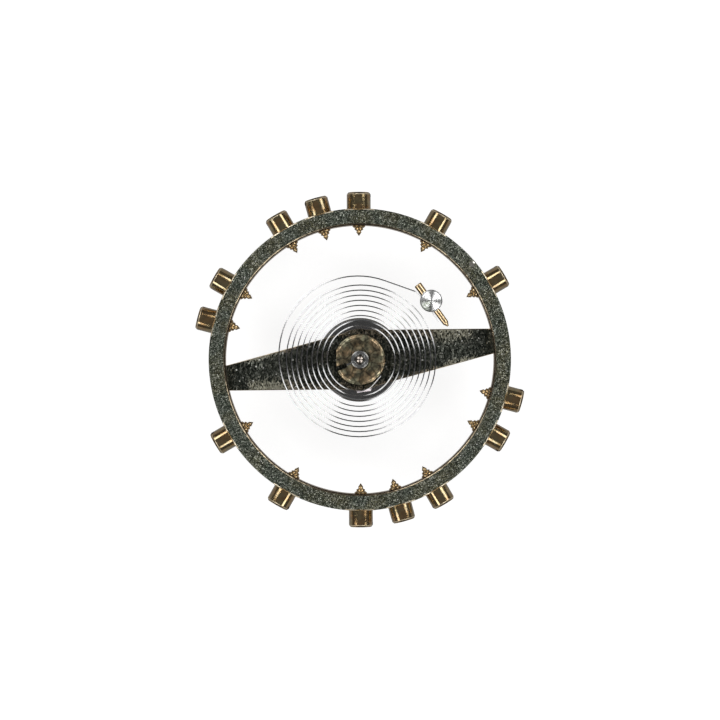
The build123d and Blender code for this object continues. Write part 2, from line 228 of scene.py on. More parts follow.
class StudSizes(bpy.types.PropertyGroup):
    radius: length("Stud radius", 0.000362, "Radius of the stud's post")
    edge_width: length("Stud edge", 0.00001, "Width of the bevel round the end face")
    edge_drop: length("Stud edge's drop", 0.0000045, "Drop of that bevel")
    groove_inset: length("Groove inset", 0.000015, "Distance of the outermost ridge from the stud's side")
    groove_count: count("Grooves", 6, "Number of ring grooves in the end face")
    groove_depth: length("Groove depth", 0.000011, "Depth of the ring grooves in the end face")
    foot_radius: length("Foot radius", 0.00031, "Radius of the stud's lower end")
    foot_length: length("Foot length", 0.00052, "Length of the tapered foot")
    hole_radius: length("Hole radius", 0.000164, "Radius of the hole for the ribbon and its pin")
    pin_offset: length("Pin offset", 0.00002, "Distance of the pin's axis from the stud's middle")
    pin_length: length("Pin length", 0.00172, "Length of the stud's pin")
    pin_reach: length("Pin reach", 0.00071, "How far the pin's blunt end lies from the stud's middle")
    pin_point: length("Pin point", 0.00014, "Length of the pin's point")
    collet_pin_length: length("Collet pin", 0.00105, "Length of the collet's pin")
    clearance: length("Clearance", 0.000005, "Gap between a hole's wall and what is held in it")


class Finishes(bpy.types.PropertyGroup):
    rim: colour("Rim", (0.135, 0.143, 0.102), "Grained top of the rim")
    arms: colour("Arms", (0.105, 0.115, 0.092), "Grained top of the arms")
    wall: colour("Walls", (0.90, 0.75, 0.57), "Turned walls of the rim")
    edge: colour("Edges", (0.16, 0.12, 0.08), "Dull bevels of the rim")
    worn: colour("Worn edges", (0.46, 0.38, 0.26), "Bright worn edges beside the bevels")
    # Painted highlight: the rim's edge at each head is coloured near white and rough to stand in for the
    # light line along it.
    worn_seat: colour("Worn edge at the heads", (0.96, 0.84, 0.63), "Bare edge of the rim at the heads")
    # Painted glint: the punch mark's bottom is coloured near white to stand in for a glint on the rim.
    mark: colour("Punch mark", (0.90, 0.86, 0.76), "Bright bottom of the punch mark")
    brass: colour("Screws", (0.46, 0.365, 0.19), "Polished brass of the screws")
    # Painted highlight: the facet at each head's outer end is coloured near white and rough to stand in for
    # the light line across it.
    head_edge: colour("Edges of the heads", (0.98, 0.84, 0.60), "Worn edge of the screws' heads")
    bronze: colour("Threads", (0.66, 0.49, 0.27), "Duller brass of the threads")
    collet: colour("Collet", (0.49, 0.45, 0.33), "Brass of the collet")
    pin: colour("Pins", (0.96, 0.72, 0.43), "Brass of the pins")
    steel: colour("Steel", (0.56, 0.565, 0.56), "Polished steel of the staff and the stud")
    pivot: colour("Pivots", (0.48, 0.42, 0.37), "Burnished steel of the pivots")
    # Painted shade: the upper cone's steel is coloured near black to stand in for the dark it reflects.
    cone_shade_tint: colour("Cone", (0.15, 0.14, 0.13), "Dark steel of the staff's upper cone")
    roller: colour("Roller", (0.42, 0.42, 0.42), "Steel of the roller")
    spring: colour("Hairspring", (0.29, 0.29, 0.29), "Steel of the hairspring")
    ruby: colour("Jewel", (0.97, 0.87, 0.92), "Synthetic ruby of the impulse jewel")


class StudioSettings(bpy.types.PropertyGroup):
    camera_height: length("Camera height", 0.0873, "Height of the camera above the floor")
    camera_x: length("Camera X", 0.0000067, "Place of the camera along X")
    camera_y: length("Camera Y", -0.0000133, "Place of the camera along Y")
    field_width: length("Field width", 0.02396, "Width in view at the rim's top")
    lamp_distance: length("Lamp distance", 0.11, "Distance of the soft boxes")
    lamp_turn: turn("Lamp tilt", 50.0, "Angle of the soft boxes from straight above")
    lamp_azimuths: FloatVectorProperty(
        name="Lamp directions", description="Directions in which the soft boxes stand", size=4,
        unit="ROTATION", default=(radians(38), radians(129.5), radians(221), radians(316)))
    lamp_width: number("Lamp width", 0.72, "Width of a soft box as a share of its distance")
    lamp_depth: number("Lamp depth", 0.28, "Depth of a soft box as a share of its distance")
    lamp_level: number("Lamp level", 3.7, "Brightness of the soft boxes' faces")
    sky_level: number("Room level", 0.16, "Brightness of the dim room")


class BalanceSettings(bpy.types.PropertyGroup):
    wheel: PointerProperty(type=WheelSizes)
    screws: PointerProperty(type=ScrewSizes)
    staff: PointerProperty(type=StaffSizes)
    roller: PointerProperty(type=RollerSizes)
    collet: PointerProperty(type=ColletSizes)
    spring: PointerProperty(type=SpringSizes)
    stud: PointerProperty(type=StudSizes)
    finishes: PointerProperty(type=Finishes)
    studio: PointerProperty(type=StudioSettings)


# Modelling steps that several pieces share

# Distances in metres: points that are one, edges too short to keep, and how far cutters run past
MERGE = 1e-8
SLIVER = 6e-8
OVER = 0.0001


def settings():
    return bpy.context.scene.balance_wheel


def nothing_selected():
    if bpy.context.mode != "OBJECT":
        bpy.ops.object.mode_set(mode="OBJECT")
    bpy.ops.object.select_all(action="DESELECT")


def only(piece):
    nothing_selected()
    piece.select_set(True)
    bpy.context.view_layer.objects.active = piece


def editing():
    bpy.ops.object.mode_set(mode="EDIT")


def edited():
    bpy.ops.object.mode_set(mode="OBJECT")


def opened(piece):
    """Opens a piece for editing with all of it selected."""
    only(piece)
    editing()
    bpy.ops.mesh.select_all(action="SELECT")


def picked(piece, kind, test):
    """Opens a piece for editing with the points or edges selected whose places pass a test."""
    only(piece)
    editing()
    bpy.ops.mesh.select_mode(type=kind)
    bpy.ops.mesh.select_all(action="DESELECT")
    edited()
    points = piece.data.vertices
    if kind == "VERT":
        for point in points:
            point.select = test(point.co)
    else:
        for edge in piece.data.edges:
            edge.select = test(*(points[number].co for number in edge.vertices))
    editing()


def named(name):
    """The piece that was just added, under its name and with its place kept in its mesh."""
    piece = bpy.context.object
    piece.name = piece.data.name = name
    bpy.ops.object.transform_apply()
    return piece


def eased(profile, radius, steps, ring=False):
    """The same outline with its corners rounded to a small radius."""
    points = [Vector(point) for point in profile]
    count = len(points)
    outline = []
    for number, corner in enumerate(points):
        if not ring and number in (0, count - 1):
            outline.append(tuple(corner))
            continue
        back = points[number - 1] - corner
        on = points[(number + 1) % count] - corner
        opening = back.angle(on)
        reach = min(radius / tan(opening / 2), 0.45 * back.length, 0.45 * on.length)
        inner = corner + (back.normalized() + on.normalized()).normalized() * (reach / cos(opening / 2))
        spoke = corner + back.normalized() * reach - inner
        turn_side = -1 if back.x * on.y > back.y * on.x else 1
        for step in range(steps + 1):
            angle = (pi - opening) * step / steps * turn_side
            outline.append((
                inner.x + spoke.x * cos(angle) - spoke.y * sin(angle),
                inner.y + spoke.x * sin(angle) + spoke.y * cos(angle)))
    return outline


def turned(name, outline, sides, ease=None, ring=False):
    """Turned piece about Z, drawn up through (radius, height) points whose corners may be eased."""
    if ease:
        outline = eased(outline, *ease, ring=ring)
    nothing_selected()
    radius, height = outline[0]
    bpy.ops.mesh.primitive_circle_add(
        vertices=sides, radius=radius, location=(0, 0, height), fill_type="NOTHING" if ring else "NGON")
    piece = named(name)
    opened(piece)
    for next_radius, next_height in outline[1:] + outline[:1] * ring:
        bpy.ops.mesh.extrude_region_move(TRANSFORM_OT_translate={"value": (0, 0, next_height - height)})
        share = next_radius / radius
        bpy.ops.transform.resize(value=(share, share, 1), center_override=(0, 0, next_height))
        radius, height = next_radius, next_height
    bpy.ops.mesh.select_all(action="SELECT")
    bpy.ops.mesh.remove_doubles(threshold=MERGE)
    bpy.ops.mesh.normals_make_consistent(inside=False)
    edited()
    return piece


def rod(name, radius, low, high, sides):
    return turned(name, [(radius, low), (radius, high)], sides)


def block(name, low, high):
    """Rectangular block between two corners."""
    nothing_selected()
    low, high = Vector(low), Vector(high)
    bpy.ops.mesh.primitive_cube_add(size=1, location=(low + high) / 2, scale=high - low)
    return named(name)


def moved(piece, place):
    """Puts a piece at its place, with the place kept in its mesh."""
    only(piece)
    piece.matrix_world = place
    bpy.ops.object.transform_apply()
    return piece


def duplicate(piece, name):
    copy = piece.copy()
    copy.data = piece.data.copy()
    copy.name = copy.data.name = name
    bpy.context.collection.objects.link(copy)
    return copy


def modified(piece, kind, **values):
    """Puts a modifier on a piece and applies it."""
    only(piece)
    modifier = piece.modifiers.new(name=kind, type=kind)
    for name, value in values.items():
        setattr(modifier, name, value)
    bpy.ops.object.modifier_apply(modifier=modifier.name)
    return piece


def combined(piece, other, operation="DIFFERENCE"):
    """Cuts another solid out of a piece, or adds it, and uses it up."""
    modified(piece, "BOOLEAN", operation=operation, solver="EXACT", object=other)
    bpy.data.objects.remove(other)
    return piece


def edges_bevelled(piece, width, least_degrees):
    return modified(
        piece, "BEVEL", width=width, segments=2, limit_method="ANGLE", angle_limit=radians(least_degrees))


def smooth(piece, degrees=32):
    """Closes the slivers that cuts leave, and shades the curved faces smooth."""
    opened(piece)
    bpy.ops.mesh.dissolve_degenerate(threshold=SLIVER)
    edited()
    bpy.ops.object.shade_smooth_by_angle(angle=radians(degrees))
    return piece


def spin_turn(angle):
    return Matrix.Rotation(angle, 4, "Z")


def out_along(angle, distance):
    """Place at a distance from the axis in a direction, turned that way."""
    return spin_turn(angle) @ Matrix.Translation((distance, 0, 0))


def coated(piece, material, chosen=None):
    """Coats the whole piece, or the faces that a test picks by middle, distance from Z and upward slope."""
    if material.name not in piece.data.materials:
        piece.data.materials.append(material)
    number = piece.data.materials.find(material.name)
    for face in piece.data.polygons:
        middle = face.center
        if chosen is None or chosen(middle, hypot(middle.x, middle.y), face.normal.z):
            face.material_index = number


def finished(piece, body, node):
    nothing_selected()
    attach(piece, body)
    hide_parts(node)


# Finishes

class Paint:
    """Shader nodes being wired into a material, a world or a shared effect."""

    def __init__(self, tree):
        self.tree = tree

    def fill(self, socket, value):
        """Sets an input to a value, or links another node's output to it."""
        if isinstance(value, bpy.types.NodeSocket):
            self.tree.links.new(value, socket)
        else:
            socket.default_value = (*value, 1) if socket.type == "RGBA" else value

    def fill_named(self, node, inputs):
        for label, value in inputs.items():
            self.fill(node.inputs[label.replace("_", " ")], value)

    def node(self, kind, setup=None, **inputs):
        node = self.tree.nodes.new("ShaderNode" + kind)
        for name, value in (setup or {}).items():
            setattr(node, name, value)
        self.fill_named(node, inputs)
        return node

    def math(self, operation, *values):
        node = self.node("Math", {"operation": operation})
        for socket, value in zip(node.inputs, values):
            self.fill(socket, value)
        return node.outputs[0]

    def times(self, first, second):
        return self.math("MULTIPLY", first, second)

    def mix(self, share, first, second):
        """Colour mixed from two colours by a share."""
        node = self.node("Mix", {"data_type": "RGBA"})
        for number, value in ((0, share), (6, first), (7, second)):
            self.fill(node.inputs[number], value)
        return node.outputs[2]

    def spread(self, value, from_low, from_high, to_low=0.0, to_high=1.0):
        """Value stretched from one range to another and kept inside it."""
        return self.node(
            "MapRange", Value=value, From_Min=from_low, From_Max=from_high, To_Min=to_low,
            To_Max=to_high).outputs[0]

    def noise(self, place, per_metre, detail=2.0):
        return self.node("TexNoise", Vector=place, Scale=per_metre, Detail=detail).outputs[0]

    def parts(self, place):
        return self.node("SeparateXYZ", Vector=place).outputs

    def effect(self, name, **inputs):
        """One of the shared effects, built when it is first called for."""
        group = bpy.data.node_groups.get(name) or EFFECTS[name](name)
        return self.node("Group", {"node_tree": group}, **inputs).outputs

    def seen(self):
        """One where the camera looks straight or through something clear, else nothing."""
        rays = self.node("LightPath").outputs
        return self.math("MAXIMUM", rays["Is Camera Ray"], rays["Is Transmission Ray"])


def new_effect(name, inputs, results):
    """Shared effect: its paint, what it is given and its results, all of them numbers but the place."""
    group = bpy.data.node_groups.new(name, "ShaderNodeTree")
    group.interface.new_socket(name="Place", in_out="INPUT", socket_type="NodeSocketVector")
    for label, value in inputs.items():
        socket = group.interface.new_socket(name=label, in_out="INPUT", socket_type="NodeSocketFloat")
        socket.default_value = value
    for label in results:
        group.interface.new_socket(name=label, in_out="OUTPUT", socket_type="NodeSocketFloat")
    return Paint(group), group.nodes.new("NodeGroupInput").outputs, group.nodes.new("NodeGroupOutput").inputs


def grain_effect(name):
    """Grain of a frosted face: a random tone for each facet and the facets' uneven height."""
    paint, given, result = new_effect(name, {"Grain per metre": 20000.0}, ("Mottle", "Height"))
    facets = paint.node("TexVoronoi", Vector=given["Place"], Scale=given["Grain per metre"]).outputs
    tones = paint.node("SeparateColor", Color=facets["Color"]).outputs
    cloud = paint.noise(given["Place"], paint.times(given["Grain per metre"], 0.35), 3.0)
    clouded = paint.times(paint.spread(cloud, 0.34, 0.66), 0.12)
    paint.fill(result["Mottle"], paint.math("MULTIPLY_ADD", tones["Red"], 0.88, clouded))
    paint.fill(result["Height"], paint.times(facets["Distance"], tones["Green"]))
    return paint.tree


def stain_effect(name):
    """Faint stain and unevenness of a polished face."""
    paint, given, result = new_effect(name, {"Stains per metre": 9000.0}, ("Mottle", "Height"))
    stain = paint.noise(given["Place"], given["Stains per metre"], 3.0)
    paint.fill(result["Mottle"], paint.spread(stain, 0.34, 0.66))
    paint.fill(result["Height"], stain)
    return paint.tree


def specks_effect(name):
    """Scattered bright specks, as of fine dust and pits that catch the light."""
    paint, given, result = new_effect(
        name, {"Specks per metre": 7000.0, "Rarity": 0.9, "Size": 0.22}, ("Mask",))
    cells = paint.node("TexVoronoi", Vector=given["Place"], Scale=given["Specks per metre"]).outputs
    tones = paint.node("SeparateColor", Color=cells["Color"]).outputs
    rare = paint.math("GREATER_THAN", tones["Red"], given["Rarity"])
    near = paint.math("LESS_THAN", cells["Distance"], paint.times(given["Size"], tones["Green"]))
    paint.fill(result["Mask"], paint.times(rare, near))
    return paint.tree


def turning_effect(name):
    """Distance from the Z axis, and the fine uneven rings that a lathe leaves round it."""
    paint, given, result = new_effect(name, {"Rings per metre": 60000.0}, ("Radius", "Height"))
    place = paint.parts(given["Place"])
    squares = paint.math("MULTIPLY_ADD", place["X"], place["X"], paint.times(place["Y"], place["Y"]))
    radius = paint.math("SQRT", squares)
    along_face = paint.math("MULTIPLY_ADD", place["Z"], 0.6, radius)
    rings = paint.node(
        "TexNoise", {"noise_dimensions": "1D"}, Scale=1.0, Detail=2.0,
        W=paint.times(along_face, given["Rings per metre"]))
    paint.fill(result["Radius"], radius)
    paint.fill(result["Height"], rings.outputs[0])
    return paint.tree


EFFECTS = {
    "metal_grain": grain_effect, "metal_stain": stain_effect, "bright_specks": specks_effect,
    "turning_rings": turning_effect,
}


class Finish(Paint):
    """Material being wired, with its shader and the object's own coordinates."""

    def __init__(self, name, roughness, metallic=1.0):
        self.material = bpy.data.materials.new(name)
        self.material.use_nodes = True
        super().__init__(self.material.node_tree)
        self.shader = self.tree.nodes["Principled BSDF"]
        self.give(Metallic=metallic, Roughness=roughness)
        self.place = self.node("TexCoord").outputs["Object"]

    def give(self, **inputs):
        self.fill_named(self.shader, inputs)

    def bump(self, height, distance):
        self.give(Normal=self.node("Bump", Distance=distance, Height=height).outputs[0])

    def salted(self, ground, mottle, dark, pale, low_range, high_range):
        """Ground strewn with darker and paler grains, each given as a share and a colour."""
        low = self.mix(self.spread(mottle, *low_range), self.mix(dark[0], ground, dark[1]), ground)
        return self.mix(self.spread(mottle, *high_range), low, self.mix(pale[0], ground, pale[1]))

    def dust(self, ground, per_metre, rarity, size):
        """Lays scattered pale specks over the metal's tone: dust, and painted glints of pits that catch the
        light.
        """
        mask = self.effect(
            "bright_specks", Place=self.place, Specks_per_metre=per_metre, Rarity=rarity, Size=size)["Mask"]
        self.give(
            Base_Color=self.mix(mask, ground, (0.88, 0.88, 0.82)), Metallic=self.math("SUBTRACT", 1.0, mask))


def scaled(base, *shares):
    """Colour times one share, or times one share for each part."""
    return tuple(min(1.0, part * share) for part, share in zip(base, shares * 3))


def rim_finish():
    """Frosted top of the rim: grey green, salted with light and dark grains, with pale specks of dust and
    painted glints on it.
    """
    base = settings().finishes.rim
    metal = Finish("rim_grain", 0.34)
    grain = metal.effect("metal_grain", Place=metal.place, Grain_per_metre=34000.0)
    mottle = grain["Mottle"]
    ground = metal.mix(
        metal.spread(metal.noise(metal.place, 1400.0), 0.4, 0.62), scaled(base, 0.90, 1.0, 1.06),
        scaled(base, 1.10, 1.02, 0.84))
    toned = metal.salted(
        ground, mottle, dark=(0.8, (0.02, 0.024, 0.02)), pale=(0.3, (1.0, 1.0, 0.9)),
        low_range=(0.15, 0.55), high_range=(0.5, 0.9))
    metal.dust(toned, per_metre=11000.0, rarity=0.84, size=0.24)
    metal.give(Roughness=metal.spread(mottle, 0, 1, 0.42, 0.28))
    metal.bump(grain["Height"], distance=0.00002)
    return metal.material


def arm_finish(s):
    """Dark frosted face of the arms, rubbed paler along their edges, with pale specks of dust and painted
    glints on it, and painted shade under the hairspring's coils and at the arms' outer ends below the rim.
    """
    base = settings().finishes.arms
    metal = Finish("arm_grain", 0.36)
    drawn = metal.node("Mapping", Scale=(1.0, 0.6, 1.0), Vector=metal.place).outputs[0]
    grain = metal.effect("metal_grain", Place=drawn, Grain_per_metre=30000.0)
    mottle = grain["Mottle"]
    level = metal.parts(metal.node("Mapping", Rotation=(0, 0, -s.arm_turn), Vector=metal.place).outputs[0])
    slope = (s.arm_root - s.arm_tip) / (s.outer_radius - s.width)
    reach = metal.math("ABSOLUTE", level["X"])
    half_width = metal.math("SUBTRACT", s.arm_root, metal.times(reach, slope))
    side = metal.times(metal.math("SIGN", level["X"]), level["Y"])
    cloud = metal.noise(metal.place, 6000.0, 4.0)
    wobble = metal.math("MULTIPLY_ADD", cloud, 0.0004, -0.0002)

    def rub(operation, start, end):
        edge = metal.math("ADD", metal.math(operation, half_width, side), wobble)
        return metal.spread(edge, start, end)

    wide = rub("SUBTRACT", s.wide_rub * 1.3, s.wide_rub * 0.3)
    thin = rub("ADD", s.thin_rub * 1.2, s.thin_rub * 0.3)
    # Painted shade: inside the coil shade's end the rub is cut to 0.55 of its strength, under the
    # hairspring's coils.
    stretch = metal.times(
        metal.spread(reach, s.rub_end + 0.0001, s.rub_end - 0.0001),
        metal.spread(reach, s.coil_shade_end - 0.0003, s.coil_shade_end, 0.55, 1.0))
    rubbed = metal.times(metal.math("MAXIMUM", wide, thin), stretch)
    speckled = metal.spread(metal.math("MULTIPLY_ADD", mottle, 0.9, rubbed), 0.7, 1.35)
    # Painted shade: a browner, darker tone inside the coil shade's end, under the hairspring's coils.
    hue = metal.mix(
        metal.spread(reach, s.coil_shade_end + 0.0002, s.coil_shade_end - 0.0002), scaled(base, 4.8, 4.2, 4.0),
        scaled(base, 4.6, 3.4, 3.0))
    black = (0.008, 0.011, 0.01)
    toned = metal.salted(
        metal.mix(speckled, base, hue), mottle, dark=(0.85, black), pale=(0.25, (0.9, 0.92, 0.85)),
        low_range=(0.1, 0.6), high_range=(0.6, 0.95))
    # Painted shade: the arms darken toward black at their outer ends, where they lie below the rim's top.
    painted_shade_at_rim = metal.spread(reach, s.rub_end - 0.0003, s.rub_end + 0.0001, 0.0, 0.42)
    metal.dust(metal.mix(painted_shade_at_rim, toned, black), per_metre=9000.0, rarity=0.74, size=0.3)
    metal.give(Roughness=metal.spread(rubbed, 0, 1, 0.32, 0.42))
    metal.bump(grain["Height"], distance=0.000018)
    return metal.material


# Plain metals: colour, roughness, tone of the stains, stains a metre, bump's height, lathe's rings a metre
METALS = {
    "rim_wall": ("wall", 0.28, 0.8, 3000.0, 0.000003, 50000.0),
    "rim_bevel": ("edge", 0.25, 0.5, 9000.0, 0.000004, 0),
    "worn_edge": ("worn", 0.2, 0.25, 8000.0, 0.000005, 0),
    # Painted highlight along the rim's edge at the heads.
    "worn_seat": ("worn_seat", 0.42, 0.6, 9000.0, 0.000003, 0),
    # Painted glint in the punch mark's bottom.
    "bright_mark": ("mark", 0.15, 0.8, 9000.0, 0.000001, 0),
    "screw_thread": ("bronze", 0.14, 0.7, 14000.0, 0.000002, 0),
    # Painted highlight on the heads' end facets.
    "worn_head_edge": ("head_edge", 0.45, 0.8, 9000.0, 0.000002, 0),
    "staff_steel": ("steel", 0.14, 0.75, 12000.0, 0.000002, 90000.0),
    # Painted shade on the staff's upper cone.
    "cone_steel": ("cone_shade_tint", 0.35, 0.7, 12000.0, 0.000004, 0),
    "pivot_steel": ("pivot", 0.12, 0.8, 12000.0, 0.000001, 0),
    "wedge_brass": ("pin", 0.25, 0.8, 9000.0, 0.000003, 0),
    "spring_steel": ("spring", 0.16, 0.8, 9000.0, 0.000001, 0),
}


def plain_metal(name):
    """Metal with a faint stain and, where it was turned, the lathe's rings."""
    tint, roughness, darker, stains, bump, rings = METALS[name]
    base = getattr(settings().finishes, tint)
    metal = Finish(name, roughness)
    stain = metal.effect("metal_stain", Place=metal.place, Stains_per_metre=stains)
    metal.give(
        Base_Color=metal.mix(stain["Mottle"], scaled(base, darker), base),
        Roughness=metal.spread(stain["Mottle"], 0, 1, roughness * 1.25, roughness * 0.85))
    height = stain["Height"]
    if rings:
        turning = metal.effect("turning_rings", Place=metal.place, Rings_per_metre=rings)
        height = metal.math("MULTIPLY_ADD", turning["Height"], 0.8, metal.times(height, 0.35))
    metal.bump(height, bump)
    return metal.material


def screw_finish():
    """Turned brass, redder in places, under a thin clear lacquer."""
    base = settings().finishes.brass
    metal = Finish("screw_brass", 0.075)
    metal.give(Coat_Weight=1.0, Coat_Roughness=0.07)
    stain = metal.effect("metal_stain", Place=metal.place, Stains_per_metre=9000.0)
    hue = metal.mix(
        metal.spread(metal.noise(metal.place, 3500.0), 0.4, 0.6), base, scaled(base, 1.08, 0.86, 0.72))
    metal.give(Base_Color=metal.mix(stain["Mottle"], metal.mix(0.3, hue, (0.03, 0.015, 0.005)), hue))
    turning = metal.effect("turning_rings", Place=metal.place, Rings_per_metre=90000.0)
    metal.bump(turning["Height"], distance=0.0000021)
    return metal.material


def collet_finish(s):
    """Blotched brass, darker in a ring round its top."""
    base = settings().finishes.collet
    metal = Finish("collet_brass", 0.28)
    turning = metal.effect("turning_rings", Place=metal.place, Rings_per_metre=30000.0)
    blotch = metal.noise(metal.place, 6000.0, 4.0)
    grain = metal.effect("metal_grain", Place=metal.place, Grain_per_metre=16000.0)
    blotched = metal.times(metal.spread(blotch, 0.4, 0.6), 0.65)
    tone = metal.math("MULTIPLY_ADD", grain["Mottle"], 0.35, blotched)
    pale = metal.mix(
        metal.spread(metal.noise(metal.place, 2600.0), 0.42, 0.58), scaled(base, 1.5, 1.55, 1.4),
        scaled(base, 1.9, 1.5, 1.2))
    veins = metal.node("TexVoronoi", {"feature": "DISTANCE_TO_EDGE"}, Scale=2800.0, Vector=metal.place)
    cut = metal.spread(veins.outputs["Distance"], 0.09, 0.02, 0.0, 0.6)
    toned = metal.mix(cut, metal.mix(tone, scaled(base, 0.2), pale), (0.05, 0.045, 0.03))
    inside = metal.spread(turning["Radius"], s.ring_inner - 0.00003, s.ring_inner)
    outside = metal.spread(turning["Radius"], s.ring_outer + 0.00003, s.ring_outer)
    shaded = metal.times(metal.times(inside, outside), 0.4)
    metal.give(Base_Color=metal.mix(shaded, toned, (0.05, 0.035, 0.02)))
    height = metal.math("MULTIPLY_ADD", turning["Height"], 0.7, metal.times(blotch, 3.0))
    metal.bump(height, distance=0.000011)
    return metal.material


def roller_finish(highlight_radius):
    """Turned steel with a painted highlight: a brighter ring near the edge, in place of the light a chamfer
    there catches.
    """
    base = settings().finishes.roller
    metal = Finish("roller_steel", 0.2)
    turning = metal.effect("turning_rings", Place=metal.place, Rings_per_metre=45000.0)
    stain = metal.effect("metal_stain", Place=metal.place, Stains_per_metre=9000.0)
    off = metal.math("ABSOLUTE", metal.math("SUBTRACT", turning["Radius"], highlight_radius))
    toned = metal.mix(stain["Mottle"], scaled(base, 0.75), base)
    # Painted highlight: the ring at the highlight radius is 2.2 times brighter.
    metal.give(Base_Color=metal.mix(metal.spread(off, 0.00003, 0.00001), toned, scaled(base, 2.2)))
    metal.bump(turning["Height"], distance=0.000003)
    return metal.material


def jewel_finish():
    """Clear ruby, a little uneven in its colour."""
    base = settings().finishes.ruby
    ruby = Finish("ruby", 0.04, metallic=0.0)
    growth = ruby.noise(ruby.place, 4000.0)
    ruby.give(
        Transmission_Weight=1.0, IOR=1.77, Base_Color=ruby.mix(growth, scaled(base, 0.85), base))
    return ruby.material


def stud_finish(middle):
    """Polished steel with the lathe's rings round the stud's own middle, darker in cloudy patches over one
    quarter.
    """
    base = settings().finishes.steel
    metal = Finish("stud_steel", 0.26)
    centred = metal.node("Mapping", Location=(-middle.x, -middle.y, 0), Vector=metal.place).outputs[0]
    turning = metal.effect("turning_rings", Place=centred, Rings_per_metre=50000.0)
    stain = metal.effect("metal_stain", Place=metal.place, Stains_per_metre=9000.0)
    toned = metal.mix(stain["Mottle"], scaled(base, 1.25), scaled(base, 1.55))
    sides = metal.parts(centred)
    quarter = metal.times(*(metal.spread(sides[side], 0.00001, -0.00003) for side in "XY"))
    cloud = metal.spread(metal.noise(metal.place, 16000.0), 0.38, 0.58, 0.35, 1.0)
    metal.give(Base_Color=metal.mix(metal.times(quarter, cloud), toned, scaled(base, 0.56, 0.6, 0.52)))
    metal.bump(turning["Height"], distance=0.000002)
    return metal.material


# Pieces

# How far a face looks upward, from 0 for a wall to 1 for a level top
STEEP = 0.2
HALF_STEEP = 0.5
TILTED = 0.85
LEVEL = 0.97


class BALANCE_OT_wheel(bpy.types.Operator):
    """Rim with its two tapered arms, hub, screw holes and punch mark"""
    bl_idname = "balance.wheel"
    bl_label = "Wheel"

    def execute(self, context):
        s, screw = settings().wheel, settings().screws
        base, top = WHEEL_LOW.z, WHEEL_HIGH.z
        outer, bevel, inner_bevel = s.outer_radius, s.bevel, s.inner_bevel
        inner = outer - s.width
        middle_radius = inner + s.width / 2
        wheel = turned("rim_and_arms", [
            (inner, base + bevel), (inner, top - inner_bevel),
            (inner + inner_bevel / 2, top - inner_bevel / 4), (inner + inner_bevel * 1.1, top),
            (outer - bevel * 1.4, top), (outer - bevel * 0.4, top - bevel * 0.45),
            (outer, top - bevel), (outer, base + bevel), (outer - bevel, base), (inner + bevel, base),
        ], sides=320, ease=(0.000006, 2), ring=True)
        arm_top = s.arm_base + s.arm_thickness
        for number in (0, 1):
            arm = self.arm(s, inner, middle_radius, arm_top)
            combined(wheel, moved(arm, spin_turn(s.arm_turn + number * pi)), "UNION")
        hub = turned("hub", [
            (s.hub_radius * 0.5, s.arm_base), (s.hub_radius, s.arm_base), (s.hub_radius, arm_top - bevel),
            (s.hub_radius - bevel / 4, arm_top - bevel / 3), (s.hub_radius - bevel, arm_top),
            (s.hub_radius * 0.5, arm_top)], sides=160, ease=(0.000004, 2))
        combined(wheel, hub, "UNION")
        combined(wheel, rod("bore", s.bore_radius, s.arm_base - OVER, arm_top + OVER, sides=96))
        combined(wheel, self.screw_cutters(screw, s))
        round_mark = s.mark_radius
        depth = round_mark * 0.5
        mark = turned("mark", [(round_mark * 0.03, -depth), (round_mark, 0), (round_mark, depth)], sides=24)
        spot = Vector((cos(s.mark_turn), sin(s.mark_turn), 0)) * (inner + s.width * s.mark_place)
        combined(wheel, moved(mark, Matrix.Translation(spot + Vector((0, 0, top)))))
        smooth(wheel)
        slack = 0.000002
        seats = [screw_place(screw, angle).translation for angle in screw_turns(screw)]
        coated(wheel, rim_finish())
        coated(wheel, arm_finish(s), lambda place, reach, up: reach < inner - slack and up > HALF_STEEP)
        coated(wheel, plain_metal("rim_wall"), lambda place, reach, up: up < HALF_STEEP)
        coated(wheel, plain_metal("rim_bevel"), lambda place, reach, up: (
            STEEP < up < LEVEL and inner - slack < reach < middle_radius))
        coated(wheel, plain_metal("worn_edge"), lambda place, reach, up: (
            TILTED < up < LEVEL and place.z > arm_top - bevel and reach < middle_radius))
        # Painted highlight on the rim's edge beside each head.
        coated(wheel, plain_metal("worn_seat"), lambda place, reach, up: (
            STEEP < up < LEVEL and reach > middle_radius
            and min((place - seat).xy.length for seat in seats) < screw.head_radius * 1.2))
        # Painted glint in the punch mark's bottom.
        coated(wheel, plain_metal("bright_mark"), lambda place, reach, up: (
            up > STEEP and place.z < top and (place.xy - spot.xy).length < round_mark))
        finished(wheel, "balance", "balance_wheel")
        return {"FINISHED"}

    def arm(self, s, inner, reach, arm_top):
        """One arm along X, narrowed toward the rim."""
        arm = block("arm", (0, -s.arm_root, s.arm_base), (reach, s.arm_root, arm_top))
        picked(arm, "VERT", lambda place: place.x > reach / 2)
        narrowing = (s.arm_root - (s.arm_root - s.arm_tip) * reach / inner) / s.arm_root
        bpy.ops.transform.resize(value=(1, narrowing, 1), center_override=(reach, 0, s.arm_base))
        edited()
        return edges_bevelled(arm, s.arm_bevel, least_degrees=40)

    def screw_cutters(self, screw, wheel):
        """All the screw holes with the flat seats of the heads, as one solid."""
        seat_radius = screw.head_radius + screw.seat_gap
        hole_radius = screw.thread_radius + screw.hole_gap
        one = turned("cutter", [
            (hole_radius, -wheel.width - OVER), (hole_radius, 0), (seat_radius, 0),
            (seat_radius, 3 * OVER)], sides=64)
        cutters = [moved(duplicate(one, "cutter"), screw_place(screw, each)) for each in screw_turns(screw)]
        bpy.data.objects.remove(one)
        only(cutters[0])
        for cutter in cutters:
            cutter.select_set(True)
        bpy.ops.object.join()
        return cutters[0]


